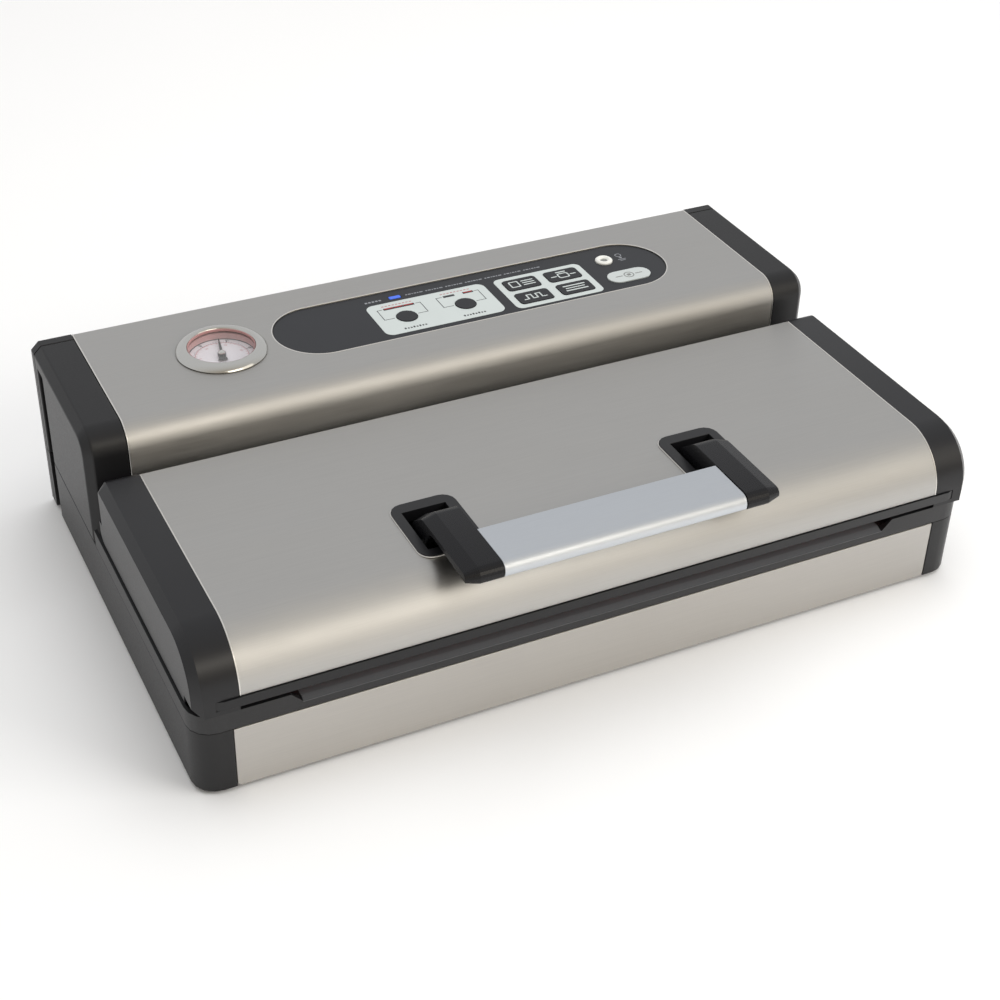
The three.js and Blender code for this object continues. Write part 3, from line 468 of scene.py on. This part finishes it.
def rounded(x0, x1, y0, y1, r, steps=6):
    points = []
    for cx, cy, start in ((x1 - r, y1 - r, 0), (x0 + r, y1 - r, 90), (x0 + r, y0 + r, 180), (x1 - r, y0 + r, 270)):
        for k in range(steps + 1):
            a = math.radians(start + 90 * k / steps)
            points.append((cx + r * math.cos(a), cy + r * math.sin(a)))
    return points


def flat_shapes(name, groups, z0, z1, body, look, place=None):
    """Thin plates from z0 to z1 millimetres. Each group is a list of loops of (x, y): an outline, then its holes."""
    curve = bpy.data.curves.new(name, "CURVE")
    curve.dimensions, curve.fill_mode, curve.extrude = "2D", "BOTH", (z1 - z0) / 2 * MM
    for loop in (loop for group in groups for loop in group):
        spline = curve.splines.new("POLY")
        spline.points.add(len(loop) - 1)
        for point, (x, y) in zip(spline.points, loop):
            point.co = (x * MM, y * MM, 0, 1)
        spline.use_cyclic_u = True
    mesh = curve_mesh(curve)
    bpy.data.curves.remove(curve)
    mesh.transform(Matrix.Translation((0, 0, (z0 + z1) / 2 * MM)))
    if place is not None:
        mesh.transform(place)
    return piece(name, mesh, body, look)


def tube(name, paths, radius, body, look, cyclic=False, resolution=3):
    """Round wires of the given radius in mm along paths of (x, y, z) in mm."""
    curve = bpy.data.curves.new(name, "CURVE")
    curve.dimensions, curve.bevel_depth, curve.bevel_resolution = "3D", radius * MM, resolution
    curve.use_fill_caps = not cyclic
    for path in paths:
        spline = curve.splines.new("POLY")
        spline.points.add(len(path) - 1)
        for point, place in zip(spline.points, path):
            point.co = (*(c * MM for c in place), 1)
        spline.use_cyclic_u = cyclic
    mesh = curve_mesh(curve)
    bpy.data.curves.remove(curve)
    return piece(name, mesh, body, look)


def turned(name, profile, place, body, look, steps=48):
    """A turned solid: profile of (radius, height) in mm, turned about place's own Z."""
    bm = bmesh.new()
    rows = []
    for r, z in profile:
        if r < 1e-6:
            rows.append([bm.verts.new(place @ Vector((0, 0, z * MM)))])
        else:
            rows.append([bm.verts.new(place @ Vector((r * MM * math.cos(2 * math.pi * k / steps),
                                                      r * MM * math.sin(2 * math.pi * k / steps), z * MM)))
                         for k in range(steps)])
    closed = profile[0][0] > 1e-6 and profile[-1][0] > 1e-6
    pairs = list(zip(rows, rows[1:])) + ([(rows[-1], rows[0])] if closed else [])
    for a, b in pairs:
        for k in range(steps):
            j = (k + 1) % steps
            corners = [a[k % len(a)], a[j % len(a)], b[j % len(b)], b[k % len(b)]]
            face = list(dict.fromkeys(corners))
            if len(face) > 2:
                bm.faces.new(face)
    return piece(name, from_bmesh(name, bm), body, look)


def at(x, y, z, tilt=(0, 0, 0)):
    turn = Matrix.Rotation(math.radians(tilt[2]), 4, "Z") @ Matrix.Rotation(math.radians(tilt[1]), 4, "Y") \
        @ Matrix.Rotation(math.radians(tilt[0]), 4, "X")
    return Matrix.Translation((x * MM, y * MM, z * MM)) @ turn


def arc(cy, cz, r, start, end, steps=14):
    return [(cy + r * math.cos(math.radians(start + (end - start) * k / steps)),
             cz + r * math.sin(math.radians(start + (end - start) * k / steps))) for k in range(steps + 1)]


# ------------------------------------------------------------------ lid and housing trim
def lid_edge(out):
    r = LID_BEND + out
    bend = arc(LID_FRONT + LID_BEND, LID_TOP - LID_BEND, r, 180, 90)
    return [(LID_FRONT - out, LID_SEAM_Z + 0.4)] + bend + [(LID_REAR - 1.5, LID_TOP + out)]


def housing_edge(out):
    r = HOUSING_BEND + out
    bend = arc(HOUSING_FRONT + HOUSING_BEND, HOUSING_TOP - HOUSING_BEND, r, 180, 90)
    return [(HOUSING_FRONT - out, 56)] + bend + [(HOUSING_REAR - 0.5, HOUSING_TOP + out)]


def edge_trims():
    """The cut edge of each sheet, where it meets a black end cap: a thin tube in steel paler than the sheet's own,
    partly a real edge and partly a painted highlight.
    """
    for tag, side in (("right", 1), ("left", -1)):
        x = side * (SEAM_X - 0.15)
        tube(f"lid_sheet_edge_{tag}", [[(x, y, z) for y, z in lid_edge(-0.05)]], 0.42, "lid", "edge_painted_highlight")
        tube(f"housing_sheet_edge_{tag}", [[(x, y, z) for y, z in housing_edge(-0.05)]], 0.42, "machine", "edge_painted_highlight")


def stadium(grow, steps=16):
    """The control panel's outline, grown by the given amount."""
    r = PANEL_RADIUS + grow
    return rounded(PANEL_X0 - grow, PANEL_X1 + grow, PANEL_Y - r, PANEL_Y + r, r - 0.01, steps)


# ------------------------------------------------------------------ control panel prints
def panel_prints():
    z = PANEL_TOP
    low, high = z - 0.02, z + 0.10
    kr = 7.1
    first = [rounded(-40.9, 42.0, 78, 117.5, 5.5)] + [ring_points(x, y, kr) for x, y in ROUND_KEYS]
    flat_shapes("print_timer_field", [first], low, high, "machine", "white")
    frames = [rounded(49.2, 112.7, 76.3, 117.2, 4.5)] + [
        rounded(x - 12.2, x + 12.2, y - 7.25, y + 7.25, 2.8) for x, y in WIDE_KEYS]
    flat_shapes("print_key_field", [frames], low, high, "machine", "white")
    # lamp windows over the round keys, each tied to its key by a thin bracket on both sides
    dark, red, marks, faint = [], [], [], []
    bar_y, foot_y, t = 109.8, 97.0, 0.5
    for (x, y), (left, right) in zip(ROUND_KEYS, ((-30.7, -9.3), (11.1, 32.2))):
        for side, near in ((-1, left), (1, right)):
            out, key = x + side * 15.2, x + side * 8.0
            near = near + side * 0.8
            marks.append([[(near, bar_y + t), (out, bar_y + t), (out, foot_y), (key, foot_y), (key, foot_y + t),
                           (out - side * t, foot_y + t), (out - side * t, bar_y), (near, bar_y)]])
        for k, tall in enumerate((1.9, 1.4, 1.4, 1.9, 1.4, 1.9, 1.4, 1.4)):
            marks.append([rounded(x - 7.6 + 2 * k, x - 6.4 + 2 * k, 81.6, 81.6 + tall, 0.2, 2)])
        for k in range(9):
            faint.append([rounded(x - 10.6 + 2.4 * k, x - 9.0 + 2.4 * k, 113.2, 114.1, 0.2, 2)])
    dark.append([rounded(-30.7, -9.3, bar_y - 1.1, bar_y + 1.3, 0.4, 2)])
    dark.append([rounded(11.1, 19.1, bar_y - 1.0, bar_y + 1.3, 0.4, 2)])
    dark.append([rounded(25.0, 32.4, bar_y - 1.0, bar_y + 1.3, 0.4, 2)])
    for x0, x1 in ((-30.0, -24.0), (-23.2, -17.4), (-16.6, -10.0), (25.6, 31.8)):
        red.append([rounded(x0, x1, bar_y - 0.2, bar_y + 1.0, 0.3, 2)])
    flat_shapes("print_lamp_windows", dark, high - 0.02, high + 0.06, "machine", "ink")
    flat_shapes("print_field_marks", marks, high - 0.02, high + 0.03, "machine", "ink")
    flat_shapes("print_fine_marks", faint, high - 0.02, high + 0.03, "machine", "faint_red")
    flat_shapes("lamp_segments", red, high, high + 0.22, "machine", "red_lens")
    # broken fine line along the top of the panel
    rule, x = [], -10.0
    while x < 87:
        for width in (1.3, 2.1, 0.9, 1.7, 1.1, 2.4):
            rule.append([rounded(x, x + width, 122.0, 123.1, 0.3, 2)])
            x += width + 0.55
        x += 1.4
    rule += [[rounded(x, x + 1.7, 121.4, 123.0, 0.3, 2)] for x in (-38.4, -36.0, -33.6, -31.2, -28.8)]
    flat_shapes("print_rule", rule, low, high - 0.04, "machine", "faint")
    # small cup and arrow sign beside the canister port
    cx, cy = 143.6, 114.8
    sign = [[ring_points(cx, cy + 1.5, 2.3, 24), ring_points(cx, cy + 1.5, 1.7, 24)],
            [rounded(cx - 3, cx + 3, cy - 4.6, cy - 4.0, 0.25, 2)],
            [rounded(cx - 2, cx + 2, cy - 6.2, cy - 5.6, 0.25, 2)],
            [[(cx, cy - 3.6), (cx + 1.3, cy - 1.6), (cx - 1.3, cy - 1.6)]]]
    flat_shapes("print_port_sign", sign, low, high - 0.04, "machine", "faint")
    # painted shade: the port's bore is a mid grey standing for the shaded inside of the ivory port
    turned("port_bore", [(0, 116.9), (2.25, 116.9), (2.25, 110), (0, 110)], at(*PORT, 0), "machine", "shade",
           24)


def bar(x0, y0, x1, y1, w=0.7):
    d = Vector((x1 - x0, y1 - y0)).normalized() * (w / 2)
    n = Vector((-d.y, d.x))
    return [[(x0 - d.x + n.x, y0 - d.y + n.y), (x0 - d.x - n.x, y0 - d.y - n.y),
             (x1 + d.x - n.x, y1 + d.y - n.y), (x1 + d.x + n.x, y1 + d.y + n.y)]]


def key_signs():
    """Plain pictograms on the keys: bag, jar, pulse and seal."""
    low, high = PANEL_TOP + 0.58, PANEL_TOP + 0.68
    (ax, ay), (bx, by), (cx, cy), (dx, dy) = WIDE_KEYS
    bag = [[rounded(ax - 8.6, ax - 1.8, ay - 3.9, ay + 3.9, 0.8, 3),
            rounded(ax - 7.7, ax - 2.7, ay - 3.0, ay + 3.0, 0.5, 3)]]
    bag += [bar(ax + 0.8, ay + d, ax + 8.6, ay + d, 0.95) for d in (-2.6, 0, 2.6)]
    flat_shapes("sign_vacuum_seal", bag, low, high, "button_vacuum_seal", "white")
    jar = [[rounded(bx - 4, bx + 4, by - 4.3, by + 2.0, 1.6, 4),
            rounded(bx - 3.1, bx + 3.1, by - 3.4, by + 1.1, 1.1, 4)],
           bar(bx - 3, by + 3.7, bx + 3, by + 3.7, 1.2), bar(bx - 8.6, by - 1.2, bx - 5.4, by - 1.2, 0.95),
           bar(bx + 5.4, by - 1.2, bx + 8.6, by - 1.2, 0.95)]
    flat_shapes("sign_canister", jar, low, high, "button_canister", "white")
    w, across, up = 0.9, (-8.2, -4.8, -1.6, 1.6, 4.8, 8.2), (-2.6, 2.6, -2.6, 2.6, -2.6)
    upper, lower = [], []
    for (x0, x1), level in zip(zip(across, across[1:]), up):
        upper.append((cx + x0 - (w / 2 if level > 0 else -w / 2), cy + level + w / 2))
        upper.append((cx + x1 + (w / 2 if level > 0 else -w / 2), cy + level + w / 2))
        lower.append((cx + x0 + (w / 2 if level > 0 else -w / 2), cy + level - w / 2))
        lower.append((cx + x1 - (w / 2 if level > 0 else -w / 2), cy + level - w / 2))
    upper[0], upper[-1] = (cx - 8.2, upper[0][1]), (cx + 8.2, upper[-1][1])
    lower[0], lower[-1] = (cx - 8.2, lower[0][1]), (cx + 8.2, lower[-1][1])
    flat_shapes("sign_pulse", [[upper + lower[::-1]]], low, high, "button_pulse", "white")
    seal = [bar(dx - 7.4, dy + 2.9, dx + 7.4, dy + 2.9, 1.2), bar(dx - 7.4, dy - 2.9, dx + 7.4, dy - 2.9, 1.2)]
    seal += [bar(dx - 6.6 + 2.8 * k, dy, dx - 4.9 + 2.8 * k, dy, 1.0) for k in range(5)]
    flat_shapes("sign_manual_seal", seal, low, high, "button_manual_seal", "white")
    x, y = CANCEL
    stop = [[ring_points(x, y, 3.6, 32), ring_points(x, y, 2.9, 32)],
            [rounded(x - 1.3, x + 1.3, y - 1.3, y + 1.3, 0.3, 2)]]
    stop += [bar(x + side * 5.2, y, x + side * 9.6, y, 0.8) for side in (-1, 1)]
    flat_shapes("sign_cancel", stop, low, high, "button_cancel", "shade")


# ------------------------------------------------------------------ vacuum gauge
def gauge_face():
    x, y = GAUGE
    z = 113.4

    def polar(angle, r):
        a = math.radians(angle)
        return x + r * math.cos(a), y + r * math.sin(a)

    def band(r0, r1, start, end, steps=60):
        out = [polar(start + (end - start) * k / steps, r1) for k in range(steps + 1)]
        return [out + [polar(end + (start - end) * k / steps, r0) for k in range(steps + 1)]]

    flat_shapes("dial_red_arc", [band(16.15, 16.5, -45, 225)], z - 0.02, z + 0.05, "machine", "faint_red")
    ticks, small, inner = [], [], []
    for k in range(0, 51):
        angle = 225 - 270 * k / 50
        long = k % 10 == 0
        (x0, y0), (x1, y1) = polar(angle, 16.7), polar(angle, 18.2 if long else (17.8 if k % 5 == 0 else 17.3))
        (ticks if long else small).append(bar(x0, y0, x1, y1, 0.55 if long else 0.25))
        if k % 2 == 0:
            inner.append(bar(*polar(angle, 15.1), *polar(angle, 15.9), 0.25))
    flat_shapes("dial_ticks", ticks, z - 0.02, z + 0.06, "machine", "ink")
    flat_shapes("dial_fine_ticks", small, z - 0.02, z + 0.05, "machine", "ink")
    flat_shapes("dial_inner_ticks", inner, z - 0.02, z + 0.05, "machine", "faint_red")
    for k in range(6):
        angle = 225 - 54 * k
        for tag, value, r, size, look in (("", 20 * k, 19.2, 2.3, "ink"), ("inner_", 5 * k, 13.2, 2.2, "faint_red")):
            data = bpy.data.curves.new(f"dial_{tag}number_{k}", "FONT")
            data.body, data.size, data.extrude = str(value), size * MM, 0.03 * MM
            data.align_x, data.align_y = "CENTER", "CENTER"
            data.resolution_u = 3
            mesh = curve_mesh(data)
            bpy.data.curves.remove(data)
            mesh.transform(at(*polar(angle, r), z + 0.03, (0, 0, angle - 90)))
            piece(f"dial_{tag}number_{value}", mesh, "machine", look)
    turned("gauge_inner_wall", [(20.9, 113.6), (23.3, 113.6), (23.3, 117.6), (20.9, 117.6)], at(x, y, 0), "machine",
           "dial_wall", 72)
    turned("gauge_liner", [(20.35, 119.32), (20.62, 119.32), (20.62, 120.9), (20.35, 120.75)], at(x, y, 0), "machine",
           "dial_wall", 72)
    turned("gauge_dial_edge", [(20.4, 113.38), (20.9, 113.38), (20.9, 113.7), (20.6, 113.7)], at(x, y, 0), "machine",
           "ink", 72)
    turned("needle_hub", [(0, 117.4), (1.3, 117.2), (2.2, 116.5), (2.5, 115.6), (2.5, 115.2), (0, 115.2)], at(x, y, 0),
           "gauge_hand", "polished", 32)
    crown = [(28.25, 118.3), (27.95, 118.9), (27.45, 119.55), (26.8, 120.2), (26.0, 120.8), (25.1, 121.3),
             (24.1, 121.75), (23.2, 122.0), (22.4, 122.05), (21.7, 121.85), (21.1, 121.45), (20.75, 120.95),
             (20.62, 120.4)]
    ring = [(27.9, 117.78), (22.4, 117.95), (22.4, 119.3), (20.62, 119.3)] + crown[::-1]
    bezel = turned("gauge_bezel_ring", ring, at(x, y, 0), "machine", "polished", 120)
    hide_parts("gauge_bezel")


# ------------------------------------------------------------------ screws and small fittings
def screw(name, place, r, body):
    """A cross-recessed pan head about place's own Z, its seat at z 0."""
    look, slot = "zinc", "zinc_plate"
    head = [(0, 0), (r, 0), (r, 0.35 * r), (0.93 * r, 0.5 * r), (0.8 * r, 0.58 * r), (0, 0.42 * r)]
    turned(name, head, place, body, look, 32)
    h = 0.62 * r
    w, a = 0.14 * r, 0.55 * r
    cross = [(w, w), (w, a), (-w, a), (-w, w), (-a, w), (-a, -w), (-w, -w), (-w, -a), (w, -a), (w, -w), (a, -w), (a, w)]
    flat_shapes(f"{name}_top", [[ring_points(0, 0, 0.78 * r, 32), cross]], 0.40 * r, h, body, look, place)


def fittings():
    """Screws, plate, rivets and contacts on the back, and washers in the feet."""
    spots = ((-228, 20), (228, 20), (-228, 96), (228, 96), (0, 20), (0, 96), (-60, 96), (60, 96))
    for k, (x, z) in enumerate(spots):
        screw(f"back_screw_{k}", at(x, BACK_Y, z, (-90, 0, 0)), 3.0, "machine")
    for k, (x, y) in enumerate(((-215, -118), (215, -118), (-215, 128), (215, 128))):
        turned(f"foot_washer_{k}", [(3.0, 0.35), (6.2, 0.35), (6.2, 0.7), (3.0, 0.7)], at(x, y, 0), "machine", "zinc",
               32)
    plate = [[rounded(-40, 40, -14, 14, 2)]]
    flat_shapes("blank_rating_plate", plate, 0, 0.4, "machine", "blank_plate",
                at(10, BACK_Y, 58, (-90, 0, 0)))
    for k, x in enumerate((-26, 46)):
        turned(f"plate_rivet_{k}", [(0, 0), (1.6, 0), (1.5, 0.5), (0.9, 0.9), (0, 1.0)],
               at(x, BACK_Y + 0.3, 58, (-90, 0, 0)), "machine", "zinc", 20)
    for k, (dx, dz) in enumerate(((-7, -2), (7, -2), (0, 3))):
        x, z = 170 + dx, 30 + dz
        blade = [[rounded(-1.15, 1.15, -2.15, 2.15, 0.3, 2)]]
        flat_shapes(f"inlet_blade_{k}", blade, -14, 0.6, "machine", "brass", at(x, 154, z, (-90, 0, 0)))


def build():
    place_camera()
    light_scene()
    lay_floor()
    dress_nodes()
    edge_trims()
    panel_prints()
    key_signs()
    gauge_face()
    fittings()
    # the panel's cut-out and the handle openings get the same thin edge tubes, with a painted highlight in their paler
    # steel
    tube("panel_cut_edge", [[(x, y, 117.3) for x, y in stadium(0.4)]], 0.42, "machine", "edge_painted_highlight", True)
    for tag, side in (("right", 1), ("left", -1)):
        x0, x1 = sorted((side * 66.0, side * 105.0))
        loop = [(x, y, 99.35) for x, y in rounded(x0 - 0.1, x1 + 0.1, -120.6, -69.4, 8.1)]
        tube(f"bezel_edge_{tag}", [loop], 0.38, "lid", "edge_painted_highlight", True)


build()
